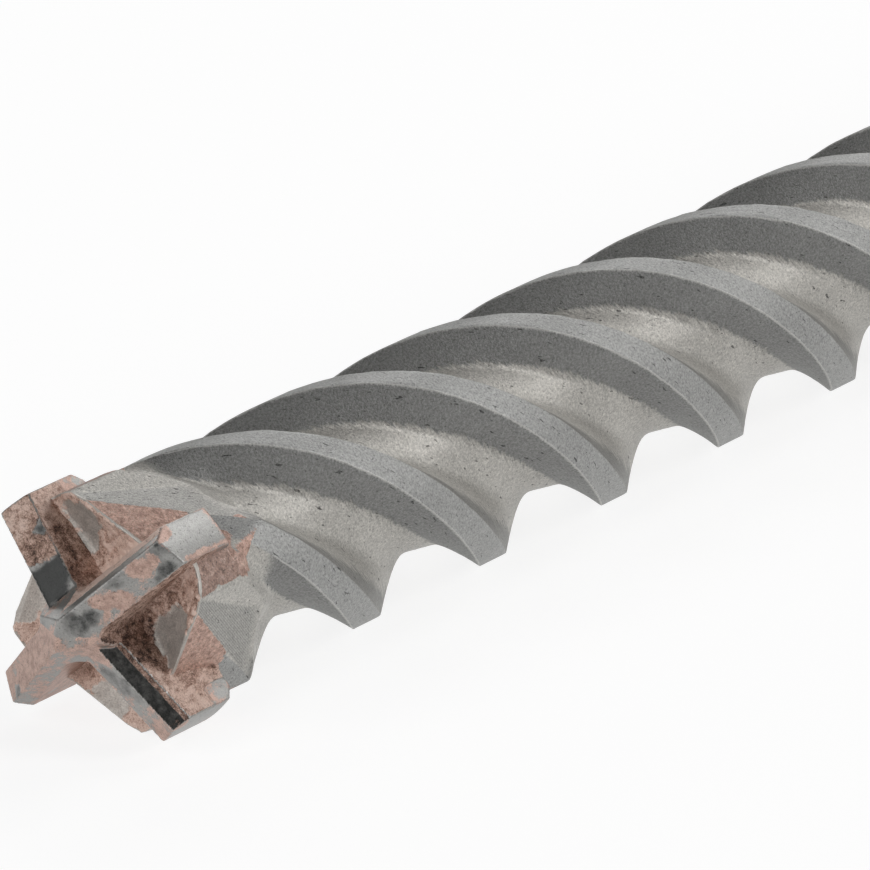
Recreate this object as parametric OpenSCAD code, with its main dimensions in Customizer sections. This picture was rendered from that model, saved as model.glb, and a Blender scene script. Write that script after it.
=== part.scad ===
// Four-cutter masonry drill bit for a rotary hammer, lying on its side.
// The bit is drawn with its axis along +Z, and its main cutting edges would meet at z = 0.
// It is then laid down along +X.
// Angles about the axis are counted from straight down in the lying pose.

/* [Cutting head] */
// Diameter over the cutting corners
cutting_d = 25; // [23:0.5:28]
// Length of the carbide head, from the point to its base
head_len = 13.4; // [12:0.1:16]
// Thickness of each of the two crossing carbide plates
plate_t = 3.9; // [3:0.1:5]
// Angle between the two main cutting edges
point_angle = 140; // [120:1:150]
// Angle between the two side cutting edges
side_point_angle = 157; // [140:1:165]
// How far the side cutters start below the point
side_drop = 2.3; // [1:0.1:3]
// How far each cutting edge runs ahead of the middle of its plate
edge_ahead = 0.9; // [0.5:0.1:1.3]
// Relief angle behind a cutting edge, square to the edge
relief_angle = 25; // [15:1:32]
// Slope of the bevel in front of a cutting edge, square to the edge
bevel_angle = 59; // [45:1:70]
// Radius of the hollow corners between the plates
corner_r = 1.5; // [0.8:0.1:2]
// Height of the chamfer round the foot of the outer faces
foot_chamfer = 1; // [0.5:0.1:2.5]

/* [Front of the steel] */
// Distance from the point to the steel's front
steel_front = 7.7; // [7:0.1:10]
// Length of the round front that carries the head
nose_len = 7; // [6.5:0.1:12]
// Radius of the round front beyond that of the lands
nose_proud = 0.15; // [0.1:0.05:0.5]
// Distance from the point to the end of the flats beside the cutters
chip_end = 19.4; // [17:0.1:20]
// Radius of the trough that is milled behind each cutter
trough_r = 6.1; // [5:0.1:7]
// Depth of a trough below the steel's front
trough_depth = 1; // [0.5:0.1:1.5]
// Distance from the axis to the middle of a trough
trough_place = 4.9; // [4:0.1:6]
// Thickness of the braze round the carbide
braze_t = 0.15; // [0.1:0.05:0.3]
// Thickness of the braze that lines the troughs
lining_t = 0.25; // [0.1:0.05:0.5]

/* [Flutes] */
// Diameter over the lands of the flights
flute_d = 22.2; // [21:0.1:24]
// Length of one full turn of a flight
lead = 80; // [60:1:100]
// Number of flights
flights = 4; // [4]
// Width of a land, measured along the axis
land_w = 4.3; // [3:0.1:6]
// Distance from the point to the end of the flutes
flute_end = 206; // [180:1:260]
// Radius of the flute bottom at the foot of the flank that faces the point
deep_r_front = 7.6; // [7:0.1:8.5]
// Radius of the flute bottom at the foot of the flank that faces the shank
deep_r_back = 6.6; // [6:0.1:7.5]
// Run of the flank that faces the point, measured along the axis
front_flank = 3.2; // [2:0.1:4.5]
// Run of the flank that faces the shank, measured along the axis
back_flank = 5.2; // [4:0.1:6.5]
// Length over which the flutes deepen behind the round front
run_in = 8; // [6:0.5:16]
// Length over which the flutes run out into the neck
run_out = 24; // [15:1:40]

/* [Neck and shank] */
// Diameter of the neck
neck_d = 20; // [19:0.1:21]
// Length of the neck
neck_len = 10; // [6:1:20]
// Diameter of the shank
shank_d = 18; // [17.5:0.05:18.5]
// Length of the shank, from the neck to the end
shank_len = 106; // [95:1:130]
// Chamfer at the shank's end
end_chamfer = 1.5; // [0.5:0.1:2.5]
// Length of the grinding relief between the plain guide stretch and the driving grooves
relief_len = 1.5; // [1:0.1:4]
// Depth of the grinding relief
relief_depth = 0.2; // [0.1:0.05:0.5]
// Length of the driving grooves, which are open at the shank's end
drive_len = 72; // [60:1:80]
// Width of a driving groove
drive_w = 5; // [4:0.1:6]
// Depth of a driving groove
drive_depth = 2.4; // [1.5:0.1:3]
// Angle from the top driving groove to each of the other two
drive_turn = 135; // [125:1:140]
// Length of the two closed locking grooves
lock_len = 30; // [20:1:36]
// Width of a locking groove
lock_w = 6; // [5:0.1:7]
// Depth of a locking groove
lock_depth = 2.6; // [1.5:0.1:3]
// Distance from the shank's end to the middle of the locking grooves
lock_place = 45; // [36:1:55]

/* [Hidden] */
$fn = 96;

flute_r = flute_d / 2;
head_r = cutting_d / 2;
nose_r = flute_r + nose_proud;
nose_end = steel_front + nose_len;
neck_end = flute_end + neck_len;
bit_len = neck_end + shank_len;
guide_end = bit_len - drive_len - relief_len;
// Both reliefs meet in the chisel edge over the axis, which is the true point.
point_z = edge_ahead * tan(relief_angle) / sin(point_angle / 2);
// Direction of the first main cutter: the cross stands on two of its corners' sides.
cross_turn = 45;
// Direction of the first land at the point's height.
flight_turn = 63;
// Enough to reach past any surface that is cut.
past = 1;
// Turn between two rings of the flutes.
ring_turn = 12;

// A trough runs past the back of its cutter and a little towards the rim.
trough_turn = 65;

// The flats beside a cutter: turn is counted from that cutter, out is the distance from
// the axis at the steel's front, and fall is the slope towards the axis on the way back.
floor_turn = 58.4;
floor_out = 9.4;
floor_fall = 2.7;
lip_turn = 70;
lip_out = 8.3;
lip_fall = -8.3;
wall_turn = 70.6;
wall_out = 7.95;
wall_fall = -2.5;

// Everything is drawn upright from the point and laid down here.
module lying() {
  translate([-(point_z + bit_len) / 2, 0, flute_r])
    rotate([0, 90, 0])
      children();
}

// Outline of the two crossing plates, with hollow corners where they meet.
module cross_outline(grow = 0) {
  half = plate_t / 2 + grow;
  hollow = corner_r - grow;
  for (turn = [0, 90])
    rotate(turn)
      square([2 * head_r + 2 * past, 2 * half], center = true);
  core_outline(half, hollow);
}

// The core of the cross: a square whose corners are hollowed out.
module core_outline(half, hollow) {
  reach = half + hollow;
  difference() {
    square(2 * reach, center = true);
    for (side_x = [-1, 1], side_y = [-1, 1])
      translate([side_x * reach, side_y * reach])
        circle(r = hollow);
  }
}

// The space below one cutting edge, which falls away from the axis by half the point angle:
// the relief lies behind the edge and the steeper bevel in front of it.
module below_edge(slope) {
  behind = head_r;
  ahead = head_r - edge_ahead;
  section = [
    [-edge_ahead, 0],
    [behind - edge_ahead, behind * tan(relief_angle)],
    [behind - edge_ahead, 3 * head_len],
    [-edge_ahead - ahead, 3 * head_len],
    [-edge_ahead - ahead, ahead * tan(bevel_angle)]
  ];
  rotate([0, -slope, 0])
    rotate([90, 0, 90])
      linear_extrude(height = 4 * head_r, center = true)
        polygon(section);
}

// The roof of one pair of cutters: both edges meet over the axis.
module roof(angle) {
  slope = 90 - angle / 2;
  intersection() {
    below_edge(slope);
    rotate(180)
      below_edge(slope);
  }
}

// A round blank with a chamfered foot: the outer faces of the cutters lie on it.
module head_blank() {
  chamfer_start = head_len - foot_chamfer;
  rotate_extrude()
    polygon([
      [0, -past],
      [head_r, -past],
      [head_r, chamfer_start],
      [head_r - foot_chamfer, head_len],
      [0, head_len]
    ]);
}

// One carbide piece: a through pair of main cutters, crossed by a lower side pair.
module carbide_cross() {
  half = plate_t / 2;
  rotate(cross_turn)
    intersection() {
      union() {
        intersection() {
          linear_extrude(height = head_len)
            union() {
              square([3 * head_r, plate_t], center = true);
              core_outline(half, corner_r);
            }
          roof(point_angle);
        }
        rotate(-90)
          intersection() {
            linear_extrude(height = head_len)
              square([3 * head_r, plate_t], center = true);
            translate([0, 0, side_drop])
              roof(side_point_angle);
          }
      }
      head_blank();
    }
}

// The slot that the head's foot is brazed into, as wide as the plates and the braze.
module head_slot() {
  rotate(cross_turn)
    translate([0, 0, steel_front - past])
      linear_extrude(height = head_len + braze_t - steel_front + past)
        cross_outline(braze_t);
}

// The four troughs behind the cutters, which open at the rim.
module troughs(grow = 0) {
  middle = steel_front + trough_depth - trough_r;
  inner_end = 2;
  for (turn = [0 : 90 : 270])
    rotate(cross_turn + turn + trough_turn)
      translate([trough_place, inner_end, middle])
        rotate([90, 0, 0])
          cylinder(r = trough_r + grow, h = 2 * flute_r);
}

// Braze in the slot under and beside the head, and as a lining in the troughs.
module braze() {
  difference() {
    intersection() {
      union() {
        head_slot();
        troughs(lining_t);
      }
      translate([0, 0, steel_front])
        cylinder(r = flute_r, h = head_len);
    }
    troughs();
    chip_grooves();
    rotate(cross_turn)
      translate([0, 0, -past])
        linear_extrude(height = head_len + past)
          cross_outline();
  }
}

// A block that covers everything on the outer side of a plane. The plane crosses the
// steel's front at the distance out from the axis and falls towards the axis behind it.
module outer_side(turn, out, fall) {
  size = 4 * flute_r;
  rotate(cross_turn + turn)
    translate([out, 0, steel_front])
      rotate([0, -fall, 0])
        translate([0, -size / 2, -size / 2])
          cube(size);
}

// The metal cut away beside each cutter: a lip next to the following cutter, and a floor
// with a wall that rises to the shoulder behind this one.
module chip_grooves() {
  for (turn = [0 : 90 : 270])
    rotate(turn)
      intersection() {
        union() {
          outer_side(lip_turn, lip_out, lip_fall);
          intersection() {
            outer_side(floor_turn, floor_out, floor_fall);
            outer_side(wall_turn, wall_out, wall_fall);
          }
        }
        groove_reach();
      }
}

// What one chip groove may reach: beside the head it stops at the next cutter, and
// behind the head it runs on across the back of that cutter.
module groove_reach() {
  side = plate_t / 2;
  width = 2 * flute_r;
  rotate(cross_turn) {
    translate([side, side, steel_front - past])
      cube([width, width, chip_end - steel_front + past]);
    translate([-width / 2, side, head_len + braze_t])
      cube([width, width, chip_end - head_len - braze_t]);
  }
}

// The round front of the steel, which carries the head.
module nose() {
  translate([0, 0, steel_front])
    cylinder(r = nose_r, h = nose_len);
}

// A smooth bend from a to b that heads for c.
function bend(a, c, b, steps) = [
  for (i = [0 : steps])
    let (t = i / steps)
      (1 - t) * (1 - t) * a + 2 * t * (1 - t) * c + t * t * b
];

function mix(a, b, t) = a + (b - a) * t;

function ease(t) = let (u = min(1, max(0, t))) u * u * (3 - 2 * u);

// One flight of the section as pairs of angle and radius, from its land to the next flight.
function flight_section() =
  let (
    per_mm = 360 / lead,
    pitch = 360 / flights,
    land = land_w * per_mm / 2,
    land_edge = [land, flute_r],
    front_foot = [land + front_flank * per_mm, deep_r_front],
    back_foot = [pitch - land - back_flank * per_mm, deep_r_back],
    next_edge = [pitch - land, flute_r],
    front_from = mix(land_edge, front_foot, 0.72),
    front_to = mix(front_foot, back_foot, 0.14),
    back_from = mix(back_foot, front_foot, 0.34),
    back_to = mix(back_foot, next_edge, 0.36)
  )
  concat(
    [[0, flute_r], land_edge],
    bend(front_from, front_foot, front_to, 3),
    bend(back_from, back_foot, back_to, 3),
    [next_edge]
  );

section = [
  for (flight = [0 : flights - 1], point = flight_section())
    [point[0] + flight * 360 / flights, point[1]]
];

// Behind the round front the flutes deepen. Near the neck their bottoms rise and the
// lands sink until the section is round.
function ring_radius(r, z) =
  let (
    shallow = 1 - min(1, max(0, (z - nose_end) / run_in)),
    rise = ease((z - flute_end + run_out) / run_out),
    sink = ease((z - flute_end + run_out / 3) * 3 / run_out),
    neck_r = neck_d / 2 - nose_proud,
    front_r = mix(r, flute_r - nose_proud, shallow),
    back_bottom = mix(deep_r_back, neck_r, rise * rise),
    back_top = mix(flute_r, neck_r, sink)
  )
  min(back_top, max(back_bottom, front_r));

function ring(z) = [
  for (point = section)
    let (
      angle = point[0] + flight_turn + z * 360 / lead,
      r = ring_radius(point[1], z)
    )
    [r * cos(angle), r * sin(angle), z]
];

// The flights and flutes as one loft through turned copies of the section, which lie
// closer together where the flutes deepen.
module flutes() {
  start = nose_end - past / 2;
  middle = nose_end + run_in;
  finish = flute_end + past;
  step = ring_turn * lead / 360;
  fine = 2 * ceil((middle - start) / step);
  plain = ceil((finish - middle) / step);
  heights = concat(
    [for (i = [0 : fine - 1]) mix(start, middle, i / fine)],
    [for (i = [0 : plain]) mix(middle, finish, i / plain)]
  );
  rings = len(heights) - 1;
  count = len(section);
  points = [for (z = heights, point = ring(z)) point];
  sides = [
    for (i = [0 : rings - 1], j = [0 : count - 1])
      let (
        k = (j + 1) % count,
        low = i * count,
        high = low + count
      )
      each [
        [low + j, high + k, low + k],
        [low + j, high + j, high + k]
      ]
  ];
  front = [for (j = [0 : count - 1]) j];
  back = [for (j = [count - 1 : -1 : 0]) rings * count + j];
  polyhedron(points = points, faces = concat([front, back], sides), convexity = 10);
}

// Neck and shank in one turned shape. The plain stretch behind the neck guides the bit,
// and a shallow grinding relief ends it in front of the grooves.
module shank_blank() {
  neck_r = neck_d / 2;
  shank_r = shank_d / 2;
  relief_r = shank_r - relief_depth;
  relief_end = guide_end + relief_len;
  rotate_extrude()
    polygon([
      [0, flute_end],
      [neck_r, flute_end],
      [neck_r, neck_end - (neck_r - shank_r)],
      [shank_r, neck_end],
      [shank_r, guide_end],
      [relief_r, guide_end + relief_depth],
      [relief_r, relief_end - relief_depth],
      [shank_r, relief_end],
      [shank_r, bit_len - end_chamfer],
      [shank_r - end_chamfer, bit_len],
      [0, bit_len]
    ]);
}

// A driving groove, open at the shank's end and rounded off where the cutter left it.
module drive_groove() {
  bottom = shank_d / 2 - drive_depth;
  runout_r = 12;
  translate([bottom, -drive_w / 2, bit_len - drive_len + runout_r])
    cube([shank_d, drive_w, drive_len]);
  translate([bottom + runout_r, 0, bit_len - drive_len + runout_r])
    rotate([90, 0, 0])
      cylinder(r = runout_r, h = drive_w, center = true);
}

// A locking groove, closed at both ends and round in section.
module lock_groove() {
  cutter_r = lock_w / 2;
  middle = shank_d / 2 - lock_depth + cutter_r;
  half = lock_len / 2 - cutter_r;
  translate([middle, 0, bit_len - lock_place]) {
    cylinder(r = cutter_r, h = 2 * half, center = true);
    for (side = [-1, 1])
      translate([0, 0, side * half])
        sphere(r = cutter_r);
  }
}

// The shank has three open driving grooves and two closed locking grooves.
module shank() {
  difference() {
    shank_blank();
    for (turn = [180, 180 + drive_turn, 180 - drive_turn])
      rotate(turn)
        drive_groove();
    for (turn = [90, 270])
      rotate(turn)
        lock_groove();
  }
}

// The steel shaft: one piece from the round front to the shank's end.
module shaft() {
  difference() {
    union() {
      nose();
      flutes();
    }
    chip_grooves();
    head_slot();
    troughs(lining_t);
  }
  shank();
}

module carbide_head() {
  color("#6f6a66")
    lying()
      carbide_cross();
}

module braze_joint() {
  color("#b98c78")
    lying()
      braze();
}

module fluted_shaft() {
  color("#a09f9c")
    lying()
      shaft();
}

carbide_head();
braze_joint();
fluted_shaft();
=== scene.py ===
import math
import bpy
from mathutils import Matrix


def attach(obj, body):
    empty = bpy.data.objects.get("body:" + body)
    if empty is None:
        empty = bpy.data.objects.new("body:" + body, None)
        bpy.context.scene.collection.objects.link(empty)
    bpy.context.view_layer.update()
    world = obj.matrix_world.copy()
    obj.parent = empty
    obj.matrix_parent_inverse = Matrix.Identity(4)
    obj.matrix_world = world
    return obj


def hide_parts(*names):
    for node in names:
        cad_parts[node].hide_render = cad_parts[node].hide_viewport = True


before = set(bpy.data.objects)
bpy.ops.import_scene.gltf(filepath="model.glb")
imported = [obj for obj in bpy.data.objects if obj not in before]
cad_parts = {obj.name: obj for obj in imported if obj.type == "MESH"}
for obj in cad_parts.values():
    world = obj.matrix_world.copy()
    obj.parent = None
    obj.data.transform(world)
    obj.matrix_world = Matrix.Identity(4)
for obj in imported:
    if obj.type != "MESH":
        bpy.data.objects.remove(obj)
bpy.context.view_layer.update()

from types import SimpleNamespace

import bmesh
import bpy
import numpy as np
from mathutils import Vector

# The same sizes as the solid model, in millimetres and degrees. The bit's axis runs from the
# crossing of the cutting edges at z = 0, and angles are counted from straight down.
HEAD_LEN, PLATE = 13.4, 3.9
STEEL_FRONT, NOSE_R, NOSE_END, CHIP_END = 7.7, 11.25, 14.7, 19.4
TROUGH_R, TROUGH_DEPTH, TROUGH_PLACE, TROUGH_TURN = 6.1, 1.0, 4.9, 65
LINING, INNER_END = 0.25, 2.0
FLUTE_R, LEAD, FLIGHTS, LAND_W = 11.1, 80.0, 4, 4.3
DEEP_FRONT, DEEP_BACK, FRONT_FLANK, BACK_FLANK = 7.6, 6.6, 3.2, 5.2
RUN_IN, RUN_OUT, FLUTE_END, NECK_R = 8.0, 24.0, 206.0, 10.0
BIT_LEN = 322.0
EDGE_AHEAD, RELIEF_FALL, HALF_POINT = 0.9, 25, 70
POINT_Z = EDGE_AHEAD * math.tan(math.radians(RELIEF_FALL)) / math.sin(math.radians(HALF_POINT))
CROSS_TURN, FLIGHT_TURN = 45, 63
PER_MM = 360 / LEAD
PITCH = 360 / FLIGHTS

# The flats beside each cutter: the turn they face, their distance from the axis and their fall.
LIP = (70, 8.3, -8.3)
FLOOR = (58.4, 9.4, 2.7)
WALL = (70.6, 7.95, -2.5)

# The fine mesh: its steps along the bit and where the finer one ends, then the rings of the
# front, how often each column is split there, and the radius where its end face begins.
RING_STEP, REAR_STEP, FINE_END = 0.55, 1.1, 140
FRONT_RINGS, FRONT_SPLIT, CORE_R = 66, 3, 1.2

# Marks left by the tools: the cutter's lines on the milled walls, and the comb marks of the
# blast at the foot of the flanks, which twist faster than the flutes.
MILL_SLANT, MILL_STEP = 43, 0.21
COMB_TWIST, COMB_R, COMB_STRETCH = 10.35, 22.0, 0.5

# The braze's skin: where it starts, its mesh, and how far it is sunk inside the cutters' walls.
SKIN_R, SKIN_COLUMN, SKIN_ROWS, SKIN_SINK = 1.3, 0.5, 84, 0.5

# The cutters' worn edges and the step of their mesh, in metres.
EASED_EDGE, CUTTER_STEP = 0.0001, 0.000135


def sind(angle):
    return np.sin(np.radians(angle))


def cosd(angle):
    return np.cos(np.radians(angle))


def lay(angle, radius, z):
    """Points given round the bit's axis, in the part's frame and in metres."""
    x = z - (POINT_Z + BIT_LEN) / 2
    y = radius * sind(angle)
    up = FLUTE_R - radius * cosd(angle)
    return np.stack([x, y, up], -1) / 1000


def stand(points):
    """The way back: part frame in metres to angle, radius and z in millimetres."""
    p = np.asarray(points) * 1000
    across, down = p[..., 1], FLUTE_R - p[..., 2]
    return np.degrees(np.arctan2(across, down)), np.hypot(across, down), p[..., 0] + (POINT_Z + BIT_LEN) / 2


def ramp(value, low, high):
    """0 below low, 1 above high, and a smooth rise between."""
    t = np.clip((value - low) / (high - low), 0, 1)
    return t * t * (3 - 2 * t)


def lattice(cells, seed):
    """A fixed number between -1 and 1 for each cell of space."""
    x, y, z = (cells[..., i].astype(np.int64) for i in range(3))
    mixed = (x * 73856093 + y * 19349663 + z * 83492791 + seed * 2654435761) & 0xFFFFFFFF
    mixed = ((mixed ^ (mixed >> 15)) * 2246822519) & 0xFFFFFFFF
    mixed = ((mixed ^ (mixed >> 13)) * 3266489917) & 0xFFFFFFFF
    return ((mixed ^ (mixed >> 16)) & 0xFFFF) / 32767.5 - 1


def lumps(points, size, seed=1, octaves=3):
    """Smooth noise between -1 and 1 at the given points, with features of the given size in millimetres."""
    total, weight, gain = 0.0, 0.0, 1.0
    points = np.asarray(points, float)
    for octave in range(octaves):
        p = points / size * 2 ** octave + octave * 17.3
        cell = np.floor(p)
        t = p - cell
        t = t * t * (3 - 2 * t)
        value = 0.0
        for corner in np.ndindex(2, 2, 2):
            share = np.prod(np.where(np.array(corner) == 1, t, 1 - t), axis=-1)
            value = value + share * lattice(cell + corner, seed + octave)
        total, weight, gain = total + gain * value, weight + gain, gain * 0.5
    return total / weight * 1.5


def unit(angle, radius, z):
    """The same points in millimetres round the axis, for noise and distances."""
    return np.stack(np.broadcast_arrays(radius * cosd(angle), radius * sind(angle), z), -1)


def bend(a, c, b, steps):
    """Points of a curve from a to b that is pulled towards c."""
    t = np.linspace(0, 1, steps + 1)[:, None]
    return (1 - t) ** 2 * np.array(a) + 2 * t * (1 - t) * np.array(c) + t ** 2 * np.array(b)


def flight_columns():
    """One flight of the flutes' section: angle and radius at each column of the mesh."""
    land = LAND_W * PER_MM / 2
    front_foot = np.array([land + FRONT_FLANK * PER_MM, DEEP_FRONT])
    back_foot = np.array([PITCH - land - BACK_FLANK * PER_MM, DEEP_BACK])
    land_edge, next_edge = np.array([land, FLUTE_R]), np.array([PITCH - land, FLUTE_R])
    mix = lambda a, b, t: a + (b - a) * t
    front_from, front_to = mix(land_edge, front_foot, 0.72), mix(front_foot, back_foot, 0.14)
    back_from, back_to = mix(back_foot, front_foot, 0.34), mix(back_foot, next_edge, 0.36)
    run = lambda a, b, ts: np.array([mix(a, b, t) for t in ts])
    parts = [
        run(np.array([0, FLUTE_R]), land_edge, [0, 0.3, 0.6, 0.84, 0.955]),
        run(land_edge, front_from, [0.0, 0.035, 0.15, 0.38, 0.7]),
        bend(front_from, front_foot, front_to, 7),
        run(front_to, back_from, [0.34, 0.67]),
        bend(back_from, back_foot, back_to, 7),
        run(back_to, next_edge, [0.22, 0.46, 0.7, 0.9, 0.975]),
        run(next_edge, np.array([PITCH, FLUTE_R]), [0.0, 0.045, 0.16, 0.4, 0.7]),
    ]
    return np.concatenate(parts)


FLIGHT = flight_columns()


def flute_radius(phase, z):
    """Radius of the flights where the section's own angle is phase."""
    turn = np.mod(phase, PITCH)
    r = np.interp(turn, np.append(FLIGHT[:, 0], PITCH), np.append(FLIGHT[:, 1], FLUTE_R))
    shallow = 1 - np.clip((z - NOSE_END) / RUN_IN, 0, 1)
    rise = ramp(z, FLUTE_END - RUN_OUT, FLUTE_END)
    sink = ramp(z, FLUTE_END - RUN_OUT / 3, FLUTE_END)
    neck = NECK_R - 0.15
    front = r + (FLUTE_R - 0.15 - r) * shallow
    bottom = DEEP_BACK + (neck - DEEP_BACK) * rise * rise
    top = FLUTE_R + (neck - FLUTE_R) * sink
    return np.minimum(top, np.maximum(bottom, front))


def flat_radius(flat, angle, z):
    """Distance from the axis to one of the flats beside a cutter."""
    turn, out, fall = flat
    facing = cosd(angle - turn)
    reach = out - (z - STEEL_FRONT) * math.tan(math.radians(fall))
    return np.where(facing > 0.2, reach / np.maximum(facing, 0.2), 99.0)


def side_radius(angle, z):
    """Radius of the steel's side, and which surface makes it: 0 round, 1 lip, 2 floor, 3 wall."""
    phase = angle - FLIGHT_TURN - z * PER_MM
    flights = flute_radius(phase, z)
    nose = np.where(z <= NOSE_END, NOSE_R, 0)
    best, kind = np.maximum(flights, nose), np.zeros(np.shape(angle), int)
    for quarter in range(4):
        beside = np.mod(angle - CROSS_TURN - 90 * quarter + 180, 360) - 180
        lip = flat_radius(LIP, beside, z)
        floor = flat_radius(FLOOR, beside, z)
        wall = flat_radius(WALL, beside, z)
        inner = PLATE / 2 / np.maximum(sind(np.clip(beside, 3, 177)), 0.05)
        reach = (z <= CHIP_END) & (beside > 8) & ((beside < 80) | (z > HEAD_LEN))
        pocket = np.maximum(floor, wall)
        cut = np.maximum(np.minimum(lip, pocket), inner)
        which = np.where(lip <= pocket, 1, np.where(floor >= wall, 2, 3))
        hit = reach & (cut < best)
        best = np.where(hit, cut, best)
        kind = np.where(hit, which, kind)
    return best, kind


def trough_height(angle, radius, grow):
    """Height of the troughs' floor at a point of the steel's front, or the front itself."""
    best = np.full(np.shape(radius), STEEL_FRONT, float)
    size = TROUGH_R + grow
    for quarter in range(4):
        turned = angle - CROSS_TURN - 90 * quarter - TROUGH_TURN
        across = radius * cosd(turned) - TROUGH_PLACE
        along = radius * sind(turned)
        depth = size ** 2 - across ** 2
        floor = STEEL_FRONT + TROUGH_DEPTH - TROUGH_R + np.sqrt(np.maximum(depth, 0))
        inside = (depth > 0) & (along <= INNER_END)
        best = np.where(inside, np.maximum(best, floor), best)
    return best


def rim_table():
    """Where the steel's side begins, all the way round."""
    angle = np.arange(0, 360, 0.05)
    z = np.full(len(angle), STEEL_FRONT)
    for _ in range(6):
        z = trough_height(angle, side_radius(angle, z)[0], LINING)
    return angle, z


RIM = rim_table()


def rim_height(angle):
    return np.interp(np.mod(angle, 360), RIM[0], RIM[1], period=360)


def snap(angle, z_of):
    """Moves mesh columns on to the creases between two surfaces of the steel's side."""
    step = np.diff(np.append(angle, angle[0] + 360))
    kind = side_radius(angle, z_of(angle))[1]
    j = np.nonzero(kind != np.roll(kind, -1))[0]
    low, high = angle[j], angle[j] + step[j]
    for _ in range(12):
        middle = (low + high) / 2
        same = side_radius(middle, z_of(middle))[1] == kind[j]
        low, high = np.where(same, middle, low), np.where(same, high, middle)
    share = (low - angle[j]) / step[j]
    moved = angle.copy()
    near = share < 0.5
    moved[j[near]] += np.minimum(share[near], 0.45) * step[j[near]]
    k = (j[~near] + 1) % len(angle)
    moved[k] -= np.minimum(1 - share[~near], 0.45) * step[j[~near]]
    return moved


def steel_rings():
    """The rings of the fluted steel, fine at the front and coarser behind, as angles, radii and heights."""
    coarse = np.concatenate([FLIGHT[:, 0] + PITCH * k for k in range(FLIGHTS)])
    ends = np.append(coarse, 360)
    fine = np.concatenate([ends[:-1] + np.diff(ends) * i / FRONT_SPLIT for i in range(FRONT_SPLIT)])
    fine = np.sort(fine)
    seam = NOSE_END + RUN_IN
    rings = []
    for k in range(FRONT_RINGS + 1):
        share = k / FRONT_RINGS

        def height(angle, share=share):
            start = rim_height(angle)
            return start + (seam - start) * share

        angle = fine + FLIGHT_TURN + PER_MM * (STEEL_FRONT + (seam - STEEL_FRONT) * share)
        if k < FRONT_RINGS:
            angle = snap(angle, height)
        z = height(angle)
        rings.append((angle, side_radius(angle, z)[0], z))
    heights = np.concatenate([np.arange(seam + RING_STEP, FINE_END, RING_STEP),
                              np.arange(FINE_END, FLUTE_END + 1, REAR_STEP)])
    back = []
    for z in heights:
        angle = coarse + FLIGHT_TURN + z * PER_MM
        level = np.full(len(coarse), z)
        back.append((angle, flute_radius(coarse, level), level))
    return rings, back


def mesh_object(name, points, faces, smooth_angle=30):
    mesh = bpy.data.meshes.new(name)
    mesh.from_pydata([tuple(p) for p in points], [], faces)
    mesh.validate()
    mesh.shade_smooth()
    mesh.set_sharp_from_angle(angle=math.radians(smooth_angle))
    made = bpy.data.objects.new(name, mesh)
    bpy.context.scene.collection.objects.link(made)
    return made


def paint_points(made, name, values):
    """Stores one number for each vertex, which the materials read by its name."""
    values = np.asarray(values, np.float32)
    kind = "FLOAT" if values.ndim == 1 else "FLOAT_VECTOR"
    field = "value" if values.ndim == 1 else "vector"
    layer = made.data.attributes.new(name, kind, "POINT")
    layer.data.foreach_set(field, values.ravel())


def grid_faces(rows, columns, start=0):
    """Quads between rings of vertices, each ring closed on itself."""
    i, j = np.meshgrid(np.arange(rows - 1), np.arange(columns), indexing="ij")
    k = (j + 1) % columns
    quads = np.stack([i * columns + j, i * columns + k, (i + 1) * columns + k, (i + 1) * columns + j], -1)
    return [tuple(q) for q in (quads.reshape(-1, 4) + start).tolist()]


def fluted_steel():
    """The front and the flutes as one skin, with a face inside the head and one inside the neck."""
    rings, back = steel_rings()
    first_angle, first_r, _ = rings[0]
    n = len(first_angle)
    rows = []
    for share in np.linspace(1, 0, 15)[:-1]:
        r = first_r * (1 - share) + CORE_R * share
        rows.append((first_angle, r, trough_height(first_angle, r, LINING)))
    rows += rings
    start = (len(rows) - 1) * n
    base = len(rows) * n
    m = n // FRONT_SPLIT
    faces = grid_faces(len(rows), n)
    faces.append(tuple(range(n - 1, -1, -1)))
    for j in range(m):
        top = [start + (j * FRONT_SPLIT + i) % n for i in range(FRONT_SPLIT + 1)]
        faces.append(tuple(top) + (base + (j + 1) % m, base + j))
    faces += grid_faces(len(back), m, base)
    last = base + (len(back) - 1) * m
    faces.append(tuple(range(last, last + m)))
    rows += back
    angle, r, z = (np.concatenate([row[i] for row in rows]) for i in range(3))
    return angle, r, z, faces


def cutter_side(angle):
    """Angle from the nearest cutter that lies behind, from 0 to 90."""
    return np.mod(angle - CROSS_TURN, 90)


def from_land(angle, z):
    """Distance along the axis from the middle of the nearest land, plus towards the point."""
    phase = np.mod(angle - FLIGHT_TURN - z * PER_MM + PITCH / 2, PITCH) - PITCH / 2
    return phase / PER_MM


def copper_on_steel(angle, z, kind):
    """How surely the braze has coated the steel here: 0 bare, 1 coated, with the border at a half."""
    beside = cutter_side(angle)
    ahead = np.where(beside > 80, beside - 90, beside)
    wander = lumps(unit(angle, 11.0, z), 2.6, 41, 3)
    reach = 17.8 + 1.7 * wander - 0.9 * np.clip(ahead - 14, 0, 20) / 6
    sides = np.minimum(25.5 + 3 * wander - ahead, ahead + 4 + 3 * wander)
    seat = np.minimum((reach - z) * 0.9, sides * 0.2)
    lip = (14.6 + 1.2 * wander - z) * 0.8
    field = np.select([kind == 1, kind == 3, kind == 2], [lip, -0.6 + 0 * z, seat - 0.6], seat)
    return np.clip(0.5 + field, 0, 1)


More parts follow.
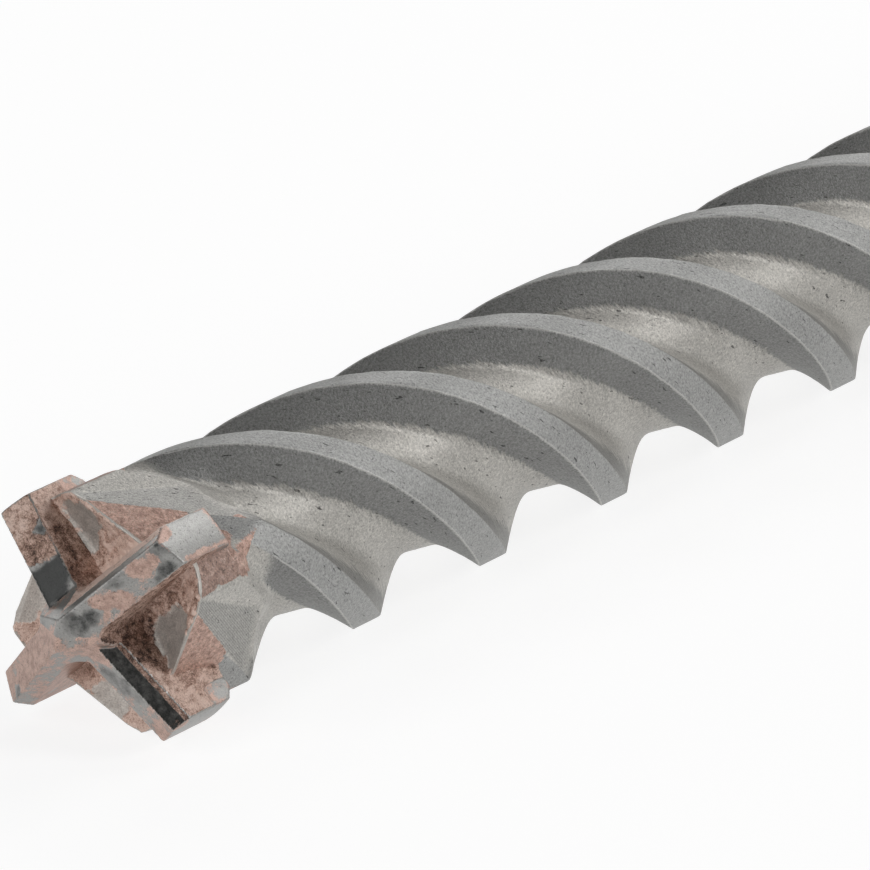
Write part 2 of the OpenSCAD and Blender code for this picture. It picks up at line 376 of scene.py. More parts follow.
def build_steel():
    """The fluted steel with its wear, and the numbers that its material reads at each point."""
    angle, r, z, faces = fluted_steel()
    half_land = LAND_W / 2
    place = from_land(angle, z)
    fluted = ramp(z, CHIP_END - 1.5, CHIP_END) * (1 - ramp(z, FLUTE_END - RUN_OUT / 3, FLUTE_END - 2))
    untwisted = unit(angle - z * PER_MM, r, z)
    kind = side_radius(angle, z)[1]
    first_mm = z - rim_height(angle)
    on_side = first_mm > 0.02

    # The lands' edges are worn unevenly, and a fine burr stands along the one that faces the point.
    tip_edge = np.exp(-((place - half_land) / 0.15) ** 2)
    back_edge = np.exp(-((place + half_land) / 0.25) ** 2)
    rough = lumps(untwisted, 0.8, 5, 3)
    worn = tip_edge * np.maximum(0, 0.04 + 0.1 * rough) + back_edge * (0.05 + 0.07 * rough)
    r = r - fluted * worn
    r = r + 0.02 * lumps(unit(angle, r, z), 2.5, 3, 2) * ((r < FLUTE_R - 0.1) & (first_mm > 1))
    z = z + 0.1 * lumps(unit(angle, r, z), 0.9, 15, 3) * np.exp(-(first_mm / 0.25) ** 2)

    steel = mesh_object("steel_shaft", lay(angle, r, z), faces, 34)
    beside_floor = np.mod(angle - CROSS_TURN - FLOOR[0] + 45, 90) - 45
    slant = math.radians(MILL_SLANT)
    fields = {
        "flow": untwisted,
        "comb_flow": unit(angle - COMB_TWIST * z, COMB_R, z * COMB_STRETCH),
        "fluted": fluted,
        "land": 1 - ramp(np.abs(place), half_land - 0.05, half_land + 0.1),
        "tip_run": np.where(place > 0, (place - half_land) / FRONT_FLANK, 2),
        "back_run": np.where(place < 0, (-place - half_land) / BACK_FLANK, 2),
        "burr": tip_edge * fluted,
        "rim": np.exp(-((first_mm - 0.03) / 0.12) ** 2),
        # Painted shade on the copper coat over the round side, stronger towards the head.
        "coat_gloom": (1 - ramp(z, 12.5, 16.0)) * (kind == 0),
        "coat": np.where(on_side, copper_on_steel(angle, z, kind), 0.6),
        "milled": np.where((kind == 2) & on_side, 1 - ramp(z, 17.0, 19.3), 0.0),
        "mill_line": r * sind(beside_floor) * math.cos(slant) - z * math.sin(slant),
    }
    for name, values in fields.items():
        paint_points(steel, name, values)
    return steel


def wall_distance(angle, r):
    """Distance in millimetres from a point of the front to the nearest side of a cutter."""
    beside = cutter_side(angle)
    return np.minimum(r * sind(beside), r * cosd(beside)) - PLATE / 2


# Marks, each given by its place, its radius and its strength. The dark marks on the roofs are
# painted dark reflection on cutter 1 and dark patches on the others, the pink ones copper film,
# the bare ones braze worn through, and the dark marks in the troughs painted shade. On a cutter
# the place is counted along and across it; in a trough it is counted along and across the cutter
# before it. Cutters and troughs are numbered 0 to 3 by angle.
DARK_ROOF = [
    (2, 2.1, 0.3, 1.2, 0.75), (2, 3.3, 0.5, 0.9, 0.7), (2, 10.9, 1.4, 0.9, 0.75), (2, 9.9, 1.6, 0.7, 0.7),
    (2, 7.1, -0.5, 0.8, 0.55), (2, 12.1, -0.5, 0.5, 0.8), (1, 4.6, 0.0, 1.9, 1.3), (1, 5.2, 1.6, 1.3, 1.1),
    (1, 9.2, 1.6, 0.8, 0.8), (3, 5.0, 0.8, 1.2, 0.6), (3, 8.0, -0.3, 1.2, 0.45), (3, 6.5, 0.3, 1.4, 0.55),
    (0, 10.8, -0.8, 0.6, 0.7)]
PINK_ROOF = [
    (2, 6.4, 0.9, 1.4, 1), (2, 5.0, 0.3, 1.2, 1), (2, 9.5, -0.2, 1.3, 1), (2, 10.6, 0.0, 0.8, 0.9),
    (2, 2.1, -0.3, 0.4, 1), (2, 3.9, 1.2, 0.8, 0.9), (0, 9.4, -0.2, 1.8, 1), (0, 7.0, 0.6, 1.6, 1),
    (0, 11.5, 0.3, 1.2, 0.9), (3, 11.8, 0.6, 1.3, 1), (3, 7.5, 0.9, 1.0, 0.9), (3, 9.6, -0.5, 0.7, 0.7)]
BARE_TROUGH = [
    (1, 7.8, 3.6, 1.8, 1.1), (1, 6.2, 2.7, 1.4, 1), (2, 4.2, 5.7, 2.1, 1.1), (2, 5.9, 4.8, 1.3, 1),
    (2, 2.9, 7.2, 1.0, 1), (3, 6.3, 5.9, 1.9, 1), (0, 6.5, 6.5, 2.2, 1), (0, 8.2, 5.3, 1.2, 1)]
PAINTED_SHADE_TROUGH = [
    (2, 2.4, 4.2, 1.9, 0.8), (2, 2.6, 5.9, 1.3, 0.7), (2, 2.6, 2.6, 1.4, 0.6), (2, 4.6, 2.6, 1.9, 0.35),
    (2, 7.0, 2.8, 1.5, 0.3), (1, 4.4, 2.4, 0.9, 0.3), (1, 6.0, 2.2, 0.9, 0.4), (3, 2.4, 6.3, 0.9, 0.6)]


def stains_and_shade(place, along, across, spots, marks):
    """How strongly the marks, stain marks and painted shade alike, cover each point, with ragged outlines.
    """
    along = along + 0.45 * lumps(spots, 1.1, 91, 3)
    across = across + 0.45 * lumps(spots, 1.1, 92, 3)
    field = np.zeros(len(along))
    for which, u, v, size, strength in marks:
        away = np.hypot(along - u, across - v) / size
        field = np.maximum(field, (place == which) * strength * (1 - ramp(away, 0.3, 1.7)))
    return np.clip(field, 0, 1)


def front_braze():
    """The copper skin over the steel's front, lumpy in the troughs and worn through in places, with painted
    shade in parts of the troughs and painted light beside one cutter.
    """
    columns = np.arange(0, 360, SKIN_COLUMN)
    rim_z = rim_height(columns)
    rim_r = side_radius(columns, rim_z)[0] - 0.03
    trough = (np.floor((columns - CROSS_TURN) / 90) % 4).astype(int)
    beside = cutter_side(columns)
    thick = np.where((trough == 1) | (trough == 2), 1.0, 0.35)
    banked = trough == 1
    rows = []
    for share in np.linspace(0, 1, SKIN_ROWS):
        r = SKIN_R + (rim_r - SKIN_R) * share
        spots = unit(columns, r, 0.0)
        grains = lumps(spots, 0.42, 21, 3)
        u, v = r * cosd(beside), r * sind(beside)
        bare = stains_and_shade(trough, u, v, spots, BARE_TROUGH)
        # Painted shade darkens the braze in parts of the troughs.
        gloom = stains_and_shade(trough, u, v, spots, PAINTED_SHADE_TROUGH)
        to_wall, to_next = wall_distance(columns, r), u - PLATE / 2
        lift = (0.05 + 0.13 * grains * thick) * ramp(rim_r - r, 0.0, 0.5) * (1 - ramp(bare, 0.3, 0.6))
        fillet = 0.3 * np.exp(-np.maximum(to_wall, 0) / 0.25)
        bank = banked * np.exp(-np.maximum(to_next, 0) / 0.8) * ramp(rim_r - r, 0.0, 1.5)
        # In trough 1, painted light makes the braze sandy beside the next cutter's wall.
        gloom = gloom - 0.8 * banked * (1 - ramp(to_next + 0.3 * grains, 0.7, 1.6))
        sunk = SKIN_SINK * (1 - ramp(to_wall, -0.15, -0.02))
        height = trough_height(columns, r, 0.02) - lift - fillet - bank + sunk
        rows.append((columns, r, height, grains, bare, gloom, thick))
    rows.append((columns, rim_r, rim_z + 0.3, 0 * columns, 1 + 0 * columns, 0 * columns, thick))
    angle, r, z, grains, bare, gloom, thick = (np.concatenate([row[i] for row in rows]) for i in range(7))
    faces = grid_faces(len(rows), len(columns))
    faces.append(tuple(range(len(columns) - 1, -1, -1)))
    made = mesh_object("front_braze", lay(angle, r, z), faces, 75)
    to_rim = side_radius(angle, rim_height(angle))[0] - r
    paint_points(made, "lump", 0.5 + 0.5 * grains)
    paint_points(made, "bare", np.maximum(bare, 1 - ramp(to_rim + 0.2 * grains, 0.05, 0.2)))
    paint_points(made, "gloom", gloom)
    paint_points(made, "crust", thick)
    paint_points(made, "rim", np.exp(-(to_rim / 0.1) ** 2))
    return made


class Signal:
    """A shader socket whose maths is written as Python expressions."""

    def __init__(self, finish, socket):
        self.finish, self.socket = finish, socket

    def maths(self, operation, first, second=0.0):
        return self.finish.node("ShaderNodeMath", {"operation": operation}, {0: first, 1: second})

    def __add__(self, other):
        return self.maths("ADD", self, other)

    def __radd__(self, other):
        return self.maths("ADD", other, self)

    def __sub__(self, other):
        return self.maths("SUBTRACT", self, other)

    def __rsub__(self, other):
        return self.maths("SUBTRACT", other, self)

    def __mul__(self, other):
        return self.maths("MULTIPLY", self, other)

    def __rmul__(self, other):
        return self.maths("MULTIPLY", other, self)

    def sine(self):
        return self.maths("SINE", self)

    def most(self, other):
        return self.maths("MAXIMUM", self, other)

    def over(self, low, high):
        """0 below low, 1 above high, and a smooth rise between."""
        return self.finish.node(
            "ShaderNodeMapRange", {"interpolation_type": "SMOOTHSTEP"},
            {"Value": self, "From Min": low, "From Max": high, "To Min": 0.0, "To Max": 1.0})


class Finish:
    """One procedural material and the method that makes its nodes."""

    def __init__(self, name):
        self.material = bpy.data.materials.new(name)
        self.material.use_nodes = True
        self.tree = self.material.node_tree
        self.tree.nodes.clear()

    def node(self, kind, settings=None, inputs=None, output=0):
        made = self.tree.nodes.new(kind)
        for key, value in (settings or {}).items():
            if key == "stops":
                self.set_stops(made.color_ramp, value)
            else:
                setattr(made, key, value)
        for key, value in (inputs or {}).items():
            socket = made.inputs[key]
            if isinstance(value, Signal):
                self.tree.links.new(value.socket, socket)
            elif isinstance(value, tuple) and socket.type == "RGBA":
                socket.default_value = value + (1.0,)
            else:
                socket.default_value = value
        return Signal(self, made.outputs[output]) if made.outputs else made

    def set_stops(self, colour_ramp, stops):
        first, last = colour_ramp.elements
        first.position, first.color = stops[0][0], stops[0][1] + (1.0,)
        last.position, last.color = stops[-1][0], stops[-1][1] + (1.0,)
        for place, colour in stops[1:-1]:
            colour_ramp.elements.new(place).color = colour + (1.0,)

    def place(self):
        """Position on the part in millimetres."""
        return self.scaled(self.node("ShaderNodeTexCoord", output="Object"), (1000.0, 1000.0, 1000.0))

    def scaled(self, spot, factors):
        return self.node("ShaderNodeVectorMath", {"operation": "MULTIPLY"}, {0: spot, 1: factors})

    def painted(self, name, output="Fac"):
        return self.node("ShaderNodeAttribute", {"attribute_name": name}, output=output)

    def grain(self, spot, size, detail=2.0, roughness=0.5):
        """Noise about 0.5, with features of the given size in the units of spot."""
        return self.node("ShaderNodeTexNoise", {"noise_dimensions": "3D"},
                         {"Vector": spot, "Scale": 1.0 / size, "Detail": detail, "Roughness": roughness})

    def ramp(self, value, *stops):
        return self.node("ShaderNodeValToRGB", {"stops": stops}, {"Fac": value})

    def blend(self, share, first, second):
        """The first colour, or the second where share is 1."""
        return self.node("ShaderNodeMix", {"data_type": "RGBA"},
                         {"Factor": share, 6: first, 7: second}, output=2)

    def shaded(self, colour, factor):
        return self.node("ShaderNodeVectorMath", {"operation": "SCALE"}, {0: colour, "Scale": factor})

    def relief(self, height, depth, below=None):
        """A bump whose full height is depth in millimetres."""
        inputs = {"Height": height, "Distance": depth / 1000, "Strength": 1.0}
        if below is not None:
            inputs["Normal"] = below
        return self.node("ShaderNodeBump", None, inputs)

    def surface(self, **inputs):
        named = {key.replace("_", " "): value for key, value in inputs.items()}
        shader = self.node("ShaderNodeBsdfPrincipled", None, named)
        self.node("ShaderNodeOutputMaterial", None, {"Surface": shader})
        return self.material


def tint(red, green, blue):
    """A colour as a paint chart gives it, 0 to 255, in the shader's own terms."""
    return tuple(c / 12.92 if c <= 0.04045 else ((c + 0.055) / 1.055) ** 2.4
                 for c in (red / 255, green / 255, blue / 255))


def blasted_steel():
    """Hardened, blasted steel: light flutes, flanks darkened by painted shade, a painted shadow behind the
    lands, a copper coat in front.
    """
    f = Finish("blasted_steel")
    spot = f.place()
    flow, comb = f.painted("flow", "Vector"), f.painted("comb_flow", "Vector")
    land, fluted = f.painted("land"), f.painted("fluted")
    salt = f.grain(spot, 0.22, 1.5, 0.8)
    broad = f.grain(spot, 4.0, 2.0, 0.5)
    streak = f.grain(comb, 1.0, 2.0)
    tip_run = f.painted("tip_run")
    root = tip_run + (streak - 0.5) * 0.6
    flank = (1 - root.over(0.86, 1.0)) * (1 - land) * fluted
    back = f.painted("back_run") + (streak - 0.5) * 0.9
    back_root = (1 - back.over(0.3, 0.5)) * (1 - land) * fluted
    # The lands are darker than the flutes. Painted shade darkens the flanks that face the point, and a
    # painted shadow darkens the back flanks below the lands' back edges.
    plain = f.blend(land, tint(194, 191, 185), tint(170, 170, 168))
    tone = f.blend(flank, plain, tint(144, 144, 142))
    tone = f.blend(back_root * 0.7, tone, tint(112, 112, 110))

    # The milled lines, then pits, specks and comb marks, then the bright burr.
    wander = (f.grain(spot, 1.5, 1.0) - 0.5) * 5
    lines = (f.painted("mill_line") * (2 * math.pi / MILL_STEP) + wander).sine()
    milled = f.painted("milled")
    tone = f.blend(milled * (0.35 + lines.over(0.1, 0.95) * 0.4), tone, tint(128, 128, 126))
    pits = f.grain(f.scaled(flow, (1.0, 1.0, 0.45)), 0.42, 1.0).over(0.70, 0.76)
    specks = f.grain(spot, 0.2, 1.0).over(0.66, 0.74)
    comb_lines = tip_run.over(0.7, 0.9) * (1 - tip_run.over(1.0, 1.45)) * streak.over(0.5, 0.6)
    tone = f.shaded(tone, 1 - comb_lines * 0.3 * fluted)
    tone = f.shaded(tone, 1 + (salt - 0.5) * 1.4 + (broad - 0.5) * 0.2 - pits * 0.65 - specks * 0.4)
    bright = (f.painted("burr") + (salt - 0.5) * 0.8).over(0.45, 0.8)
    tone = f.blend(bright * 0.45, tone, tint(226, 225, 221))

    # The copper coat, which wears through to bright steel at the rim.
    ragged = f.grain(spot, 1.1, 3.0, 0.6)
    film = (f.painted("coat") + (ragged - 0.5) * 0.8 + (salt - 0.5) * 0.25).over(0.47, 0.55)
    rim = (f.painted("rim") + (ragged - 0.5) * 1.0).over(0.45, 0.75)
    film = film * (1 - rim * 0.8)
    warm = f.grain(spot, 0.5, 3.0, 0.7)
    copper = f.ramp(warm, (0.3, tint(154, 119, 104)), (0.5, tint(204, 166, 150)),
                    (0.7, tint(230, 198, 183)))
    # Painted shade darkens the coat's copper near the head.
    copper = f.shaded(copper, 1 + (salt - 0.5) * 1.1 - specks * 0.4 - f.painted("coat_gloom") * 0.4)
    tone = f.blend(film * 0.92, tone, copper)
    tone = f.blend(rim * 0.7, tone, tint(216, 212, 206))

    bump = f.relief(salt * (1 + flank * 0.9), 0.035)
    bump = f.relief(lines * milled, 0.006, bump)
    bump = f.relief(film * warm, 0.035, bump)
    bump = f.relief(0 - pits - specks * 0.4, 0.03, bump)
    return f.surface(Base_Color=tone, Metallic=0.5 - film * 0.2,
                     Roughness=0.52 + flank * 0.06 + land * 0.03, Normal=bump)


def ground_steel():
    """The neck and shank: turned and ground, with fine rings round the axis."""
    f = Finish("ground_steel")
    spot = f.place()
    salt = f.grain(spot, 0.2, 2.0, 0.65)
    rings = f.grain(f.scaled(spot, (1.0, 0.02, 0.02)), 0.12, 2.0)
    broad = f.grain(spot, 7.0, 2.0)
    pits = f.grain(spot, 0.5, 1.0).over(0.72, 0.78)
    tone = f.shaded(f.ramp(broad, (0.35, tint(176, 176, 174)), (0.65, tint(196, 195, 191))),
                    1 + (salt - 0.5) * 0.4 + (rings - 0.5) * 0.35 - pits * 0.5)
    bump = f.relief(rings, 0.01, f.relief(salt, 0.015))
    return f.surface(Base_Color=tone, Metallic=0.7, Roughness=0.34 + salt * 0.12, Normal=bump)


def granular_copper(f, spot, lump, gloom):
    """Thick, grainy braze, near black between the grains and sandy on top: its colour and its grain."""
    fine = f.grain(spot, 0.16, 2.0, 0.7)
    # The last input darkens the grains with painted shade, and lightens them with painted light where it is
    # negative.
    height = lump * 0.45 + fine * 0.9 + f.grain(spot, 2.0, 2.0) * 0.3 - gloom * 0.36 - 0.165
    colour = f.ramp(height, (0.12, tint(48, 38, 33)), (0.28, tint(94, 72, 62)), (0.42, tint(153, 122, 107)),
                    (0.57, tint(201, 168, 152)), (0.76, tint(238, 211, 197)))
    return colour, fine


def stained_carbide():
    """Sintered carbide: smooth grey, darkened in patches and by painted dark reflection on cutter 1's roof,
    with a pink copper film in patches, grainy braze on the walls, and painted shade and light on that
    braze.
    """
    f = Finish("stained_carbide")
    spot = f.place()
    fine = f.grain(spot, 0.15, 2.0, 0.65)
    mottled = f.grain(spot, 0.8, 4.0, 0.65)
    film = (f.painted("film") + (mottled - 0.5) * 1.1 + (fine - 0.5) * 0.5).over(0.4, 0.62)
    shade = (f.painted("shade") + (mottled - 0.5) * 0.8 + (fine - 0.5) * 0.4).over(0.2, 0.95)
    crust = (f.painted("crust") + (mottled - 0.5) * 0.7 + (fine - 0.5) * 0.4).over(0.38, 0.62)
    edge = (f.painted("edge") + (fine - 0.5) * 0.3).over(0.35, 0.8)
    # The dark colour is painted dark reflection on cutter 1's roof and dark patches elsewhere.
    tone = f.blend(shade, tint(160, 159, 156), tint(49, 50, 49))
    pink = f.ramp(mottled, (0.35, tint(171, 138, 124)), (0.6, tint(208, 176, 162)))
    tone = f.blend(film * 0.9, tone, pink)
    specks = f.grain(spot, 0.22, 1.0).over(0.64, 0.72)
    tone = f.shaded(tone, 1 + (fine - 0.5) * 0.9 - specks * 0.4)
    copper = granular_copper(f, spot, f.painted("lump"), f.painted("gloom"))[0]
    tone = f.blend(crust, tone, copper)
    tone = f.blend(edge * 0.65, tone, tint(205, 201, 196))
    bump = f.relief(fine, 0.012)
    bump = f.relief(crust * fine, 0.1, bump)
    return f.surface(Base_Color=tone, Metallic=0.45 - crust * 0.25,
                     Roughness=0.36 + film * 0.12 + crust * 0.1, Normal=bump)


def rough_braze():
    """The copper skin in the troughs, grainy and dark, with painted shade and painted light on its grains,
    and bare steel showing in a few smooth patches.
    """
    f = Finish("rough_braze")
    spot = f.place()
    lump, crust = f.painted("lump"), f.painted("crust")
    copper, fine = granular_copper(f, spot, lump * crust + (1 - crust) * 0.6, f.painted("gloom"))
    mottled = f.grain(spot, 0.8, 4.0, 0.65)
    bare = (f.painted("bare") + (mottled - 0.5) * 0.9 + (fine - 0.5) * 0.4).over(0.38, 0.6)
    steel = f.ramp(mottled, (0.35, tint(172, 169, 164)), (0.65, tint(200, 197, 191)))
    steel = f.shaded(steel, 1 + (fine - 0.5) * 1.0)
    tone = f.blend(bare * 0.9, copper, steel)
    rim = (f.painted("rim") + (fine - 0.5) * 0.6).over(0.5, 0.8)
    tone = f.blend(rim * 0.8, tone, tint(212, 208, 202))
    bump = f.relief(fine * (1 - bare * 0.6), 0.12)
    return f.surface(Base_Color=tone, Metallic=0.25 + bare * 0.3, Roughness=0.46 + bare * 0.04, Normal=bump)


def give(piece, material, node):
    """Dresses a piece, hangs it on the root and hides the CAD node it stands for."""
    piece.data.materials.clear()
    piece.data.materials.append(material)
    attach(piece, "root")
    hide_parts(node)


def copy_of_node(node, name):
    """A new piece with the CAD node's surface, joined into one skin."""
    made = bpy.data.objects.new(name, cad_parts[node].data.copy())
    bpy.context.scene.collection.objects.link(made)
    skin = bmesh.new()
    skin.from_mesh(made.data)
    bmesh.ops.remove_doubles(skin, verts=skin.verts, dist=1e-6)
    skin.to_mesh(made.data)
    skin.free()
    return made


def hammer_shank():
    """Neck and shank, cut from the CAD surface behind the flutes."""
    made = copy_of_node("fluted_shaft", "hammer_shank")
    start = (FLUTE_END - 0.01 - (POINT_Z + BIT_LEN) / 2) / 1000
    skin = bmesh.new()
    skin.from_mesh(made.data)
    out = [face for face in skin.faces if min(v.co.x for v in face.verts) < start]
    bmesh.ops.delete(skin, geom=out, context="FACES")
    skin.to_mesh(made.data)
    skin.free()
    made.data.shade_smooth()
    made.data.set_sharp_from_angle(angle=math.radians(30))
    return made


def apply_modifiers(made):
    """Turns what the modifiers show into the piece's own mesh."""
    graph = bpy.context.evaluated_depsgraph_get()
    mesh = bpy.data.meshes.new_from_object(made.evaluated_get(graph))
    made.modifiers.clear()
    made.data = mesh


def mesh_arrays(mesh):
    """Positions and normals of the vertices, and the edges as pairs of them."""
    points, normals = np.empty(3 * len(mesh.vertices)), np.empty(3 * len(mesh.vertices))
    mesh.vertices.foreach_get("co", points)
    mesh.vertices.foreach_get("normal", normals)
    edges = np.empty(2 * len(mesh.edges), int)
    mesh.edges.foreach_get("vertices", edges)
    return points.reshape(-1, 3), normals.reshape(-1, 3), edges.reshape(-1, 2)


def sharpness(points, normals, edges):
    """How convex the surface is at each vertex, from 0 on a flat to about 1 on an edge."""
    across = points[edges[:, 1]] - points[edges[:, 0]]
    length = np.linalg.norm(across, axis=1) + 1e-9
    out, count = np.zeros(len(points)), np.zeros(len(points))
    for here, way in ((edges[:, 0], 1), (edges[:, 1], -1)):
        np.add.at(out, here, -way * np.sum(across * normals[here], axis=1) / length)
        np.add.at(count, here, 1)
    return np.clip(out / np.maximum(count, 1) * 3.2, 0, 1)


def cutters_mesh():
    """The carbide cross with eased edges and an even mesh."""
    made = copy_of_node("carbide_head", "carbide_cutters")
    skin = bmesh.new()
    skin.from_mesh(made.data)
    bmesh.ops.dissolve_limit(skin, angle_limit=math.radians(1), verts=skin.verts, edges=skin.edges)
    skin.to_mesh(made.data)
    skin.free()
    made.data.shade_flat()
    eased = made.modifiers.new("eased", "BEVEL")
    eased.width, eased.segments = EASED_EDGE, 2
    eased.limit_method, eased.angle_limit = "ANGLE", math.radians(20)
    even = made.modifiers.new("even", "REMESH")
    even.mode, even.voxel_size = "VOXEL", CUTTER_STEP
    apply_modifiers(made)
    made.data.shade_smooth()
    return made


def cutter_places(points, normals):
    """Where each point of the cutters lies: its cutter, its place on it, and which face it is on."""
    angle, r, z = stand(points)
    cutter = np.mod(np.round((angle - CROSS_TURN) / 90), 4).astype(int)
    turn = CROSS_TURN + 90 * cutter
    u, v = r * cosd(angle - turn), r * sind(angle - turn)
    across, down, n_z = normals[:, 1], -normals[:, 2], normals[:, 0]
    n_u = across * sind(turn) + down * cosd(turn)
    n_v = across * cosd(turn) - down * sind(turn)
    spots = unit(angle, r, z)
    return SimpleNamespace(
        cutter=cutter, r=r, z=z, u=u, v=v, n_v=n_v, n_z=n_z, spots=spots,
        roof=ramp(-n_z, 0.6, 0.8) > 0.5,
        bevel=(n_v < -0.6) & (n_z < -0.2),
        outer=ramp(n_u, 0.9, 0.97) * (r > 11.8) > 0.5,
        leading=(n_v < -0.7) & (n_z > -0.2),
        trailing=(n_v > 0.7) & (n_z > -0.2),
        patchy=lumps(spots, 2.6, 51, 3),
        fine=lumps(spots, 0.6, 61, 3))


def each_cutter(at, *values):
    """One value for each cutter, spread over its points."""
    return np.array(values)[at.cutter]


def copper_film(at, dark_roof):
    """How surely the thin pink film covers the carbide."""
    film = np.where(at.cutter == 0, 0.8, 0.5) + 0.5 * at.patchy
    pink = each_cutter(at, 0.75, 0.3, 0.28, 0.45) + 0.35 * at.patchy
    pink = np.maximum(pink, stains_and_shade(at.cutter, at.u, at.v, at.spots, PINK_ROOF) * 0.85)
    film = np.where(at.roof, pink, film) * (1 - dark_roof)
    round_edges = np.maximum(ramp(at.v, 1.0, 1.8), ramp(at.z, 11.4, 12.8))
    rim_pink = round_edges + ramp(-(at.z - 7.4), 0, 1.2) * ramp(-at.v, 0.2, 1.2)
    film = np.where(at.outer, 0.12 + 0.25 * at.patchy + 0.6 * rim_pink, film)
    return np.where(at.bevel, each_cutter(at, 0.5, 0.4, 0.3, 0.1) + 0.3 * at.patchy, film)


def dark_shade(at, dark_roof):
    """How dark the bare carbide is: painted dark reflection on cutter 1's roof, dark patches on the other
    roofs, and a dark strip on cutter 3's bevel.
    """
    blotches = 0.25 + 0.3 * lumps(at.spots, 2.2, 57, 2)
    shade = np.where(at.roof, np.maximum(blotches, dark_roof), 0.2)
    return np.where(at.bevel, each_cutter(at, 0.3, 0.3, 0.3, 0.75), shade)


def braze_crust(at, edge, dark_roof):
    """How surely grainy braze has climbed the carbide here; the edges and the far corners stay bare."""
    crust = np.where(at.trailing, each_cutter(at, 0.2, 1.0, 1.0, 0.3), 0.0)
    crust = np.where(at.leading, each_cutter(at, 0.2, 0.4, 0.9, 1.0), crust)
    foot = ramp(-at.v - each_cutter(at, 0, 0, 0, 0.25), 1.3, 1.5) * 0.8
    crust = np.where(at.bevel & (at.cutter > 1), foot, crust)
    grainy = ramp(at.u + 0.45 * at.v + 0.8 * at.fine, 5.6, 6.8) * (1 - dark_roof)
    crust = np.where(at.roof & (at.cutter == 1), grainy, crust)
    crust = crust * (1 - ramp(edge, 0.25, 0.6))
    return crust * (1 - ramp(at.z, 9.5, 11.0) * ramp(at.r, 10.0, 11.0))


def braze_painted_shading(at):
    """Painted shade that darkens the grains of the crust, and where it is negative, painted light that
    makes them sandy.
    """
    left_side, right_side = at.cutter == 1, at.cutter == 3
    gloom = np.where(at.trailing, each_cutter(at, 0.1, 0.45, 0.4, 0.1), 0.0)
    sandy_end = ramp(at.u + 0.6 * at.fine, 8.0, 9.8)
    gloom = np.where(at.trailing & left_side, gloom * (1 - sandy_end), gloom)
    inner = 0.7 * (1 - ramp(at.u + 0.6 * at.fine - (at.z - 6) * 0.4, 5.6, 7.6))
    gloom = np.where(at.leading & right_side, inner, gloom)
    gloom = np.where(at.bevel & right_side, 0.6, gloom)
    gloom = np.where(at.roof & left_side, 0.25 + 0.3 * at.patchy, gloom)
    # Cutter 2's leading wall and bevel get painted light, so their braze looks sandy.
    return np.where((at.leading | at.bevel) & (at.cutter == 2), -0.35, gloom)


def carbide_cutters():
    """The carbide cross, its copper film, dark patches and painted dark reflection, and the grainy braze
    that climbs its walls as real relief, with painted shade and light on that braze.
    """
    made = cutters_mesh()
    points, normals, edges = mesh_arrays(made.data)
    at = cutter_places(points, normals)
    edge = sharpness(points, normals, edges)
    step_line = (at.n_v < -0.85) & (np.abs(at.n_z + 0.27) < 0.14) & (at.cutter == 3)
    edge = np.maximum(edge, 0.8 * step_line)
    # Painted dark reflection on cutter 1's roof, and dark patches on the other roofs.
    dark_roof = stains_and_shade(at.cutter, at.u, at.v, at.spots, DARK_ROOF) * at.roof
    crust = braze_crust(at, edge, dark_roof)
    grains = lumps(at.spots, 0.45, 71, 3)
    moved = (0.08 * grains + 0.04) * crust + 0.008 * at.fine
    made.data.vertices.foreach_set("co", (points + normals * moved[:, None] / 1000).ravel())
    made.data.update()
    paint_points(made, "film", np.clip(copper_film(at, dark_roof), 0, 1))
    paint_points(made, "shade", np.clip(dark_shade(at, dark_roof), 0, 1))
    paint_points(made, "crust", crust)
    paint_points(made, "gloom", braze_painted_shading(at))
    paint_points(made, "lump", 0.5 + 0.5 * grains)
    paint_points(made, "edge", edge * (1 - 0.5 * ramp(at.z, 9, 12)))
    return made


give(build_steel(), blasted_steel(), "fluted_shaft")
give(hammer_shank(), ground_steel(), "fluted_shaft")
give(carbide_cutters(), stained_carbide(), "carbide_head")
give(front_braze(), rough_braze(), "braze_joint")


# The camera's place and line of sight in metres, and the softboxes: direction from the part,
# watts and width. All softboxes stand equally far away.
CAMERA_SPOT, CAMERA_SIGHT = (-0.700024, -0.425428, 0.276324), (0.766282, 0.546386, -0.338045)
CAMERA_LENS, CAMERA_FILM = 346.475, 36
LAMP_AWAY = 3.5
LAMPS = {
    "far_softbox": ((0.77, 0.40, 0.49), 22, 1.3),
    "far_side_softbox": ((0.77, -0.20, 0.60), 26, 1.3),
    "near_side_softbox": ((0.40, -0.80, 0.45), 44, 1.3),
    "point_softbox": ((-0.95, 0.00, 0.22), 40, 2.2),
    "high_softbox": ((-0.70, 0.30, 0.60), 14, 1.3),
    "back_softbox": ((0.40, 0.85, 0.30), 14, 1.3),
}
AIR_LIGHT, FLOOR_HALF, FLOOR_WHITE, FLOOR_CLEAR = 0.03, 8, 1.2, 0.7


def aim(made, spot, target):
    made.location = spot
    made.rotation_euler = (Vector(target) - Vector(spot)).to_track_quat("-Z", "Y").to_euler()


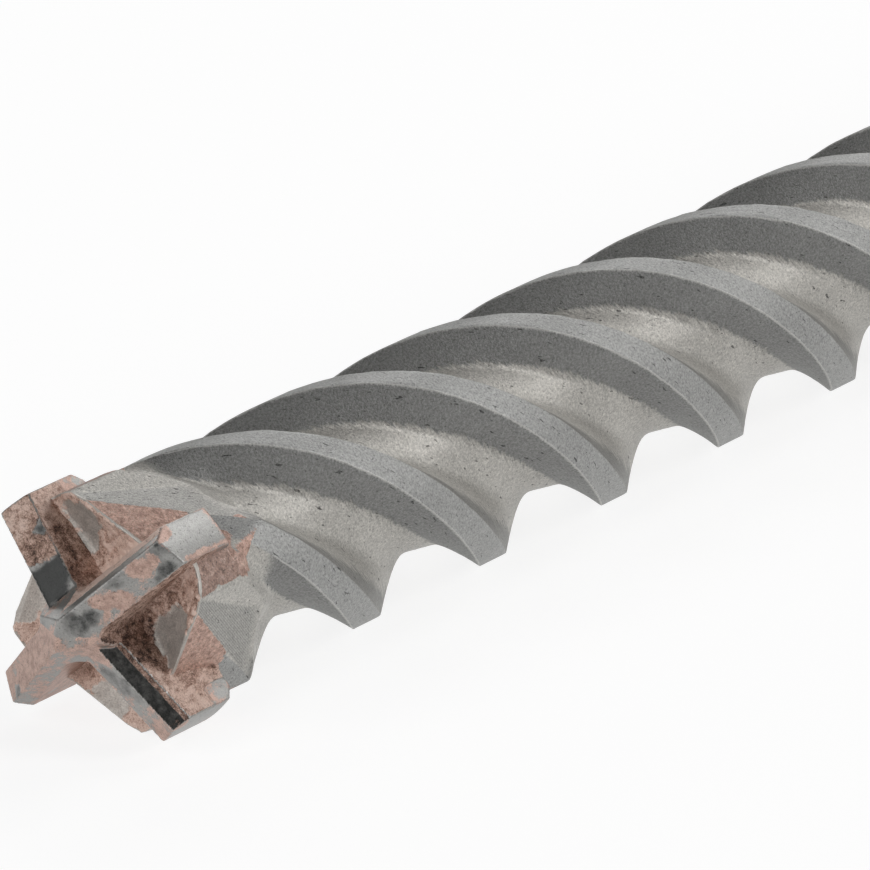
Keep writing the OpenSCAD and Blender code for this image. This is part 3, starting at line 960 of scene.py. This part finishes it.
def camera():
    data = bpy.data.cameras.new("camera")
    made = bpy.data.objects.new("camera", data)
    bpy.context.scene.collection.objects.link(made)
    spot = Vector(CAMERA_SPOT)
    aim(made, spot, spot + Vector(CAMERA_SIGHT))
    data.lens, data.sensor_width = CAMERA_LENS, CAMERA_FILM
    data.clip_start, data.clip_end = 0.01, 30
    bpy.context.scene.camera = made


def softbox(name, direction, power, size):
    """A square lamp that faces the part from the given direction."""
    data = bpy.data.lights.new(name, "AREA")
    data.shape, data.size, data.energy = "SQUARE", size, power
    made = bpy.data.objects.new(name, data)
    bpy.context.scene.collection.objects.link(made)
    aim(made, Vector(direction).normalized() * LAMP_AWAY, (0, 0, 0))


def studio_air(strength):
    air = bpy.data.worlds.new("studio_air")
    air.use_nodes = True
    bpy.context.scene.world = air
    back = air.node_tree.nodes["Background"]
    back.inputs["Color"].default_value = (1, 1, 1, 1)
    back.inputs["Strength"].default_value = strength


def pale_floor():
    """A white floor that keeps a part of the object's shadow."""
    half = FLOOR_HALF
    corners = [(-half, -half, 0), (half, -half, 0), (half, half, 0), (-half, half, 0)]
    made = mesh_object("pale_floor", corners, [(0, 1, 2, 3)])
    f = Finish("pale_floor")
    paint = f.node("ShaderNodeBsdfDiffuse", None, {"Color": (0.85, 0.85, 0.85)})
    white = f.node("ShaderNodeEmission", None, {"Color": (1.0, 1.0, 1.0), "Strength": FLOOR_WHITE})
    rays = f.tree.nodes.new("ShaderNodeLightPath")
    straight, gloss, through = (Signal(f, rays.outputs[f"Is {kind} Ray"])
                                for kind in ("Camera", "Glossy", "Transmission"))
    clear = straight.most(gloss).most(through) * FLOOR_CLEAR
    shown = f.node("ShaderNodeMixShader", None, {0: clear, 1: paint, 2: white})
    f.node("ShaderNodeOutputMaterial", None, {"Surface": shown})
    made.data.materials.append(f.material)


camera()
studio_air(AIR_LIGHT)
pale_floor()
for lamp, (direction, power, size) in LAMPS.items():
    softbox(lamp, direction, power, size)
bpy.context.scene.view_settings.view_transform = "Standard"
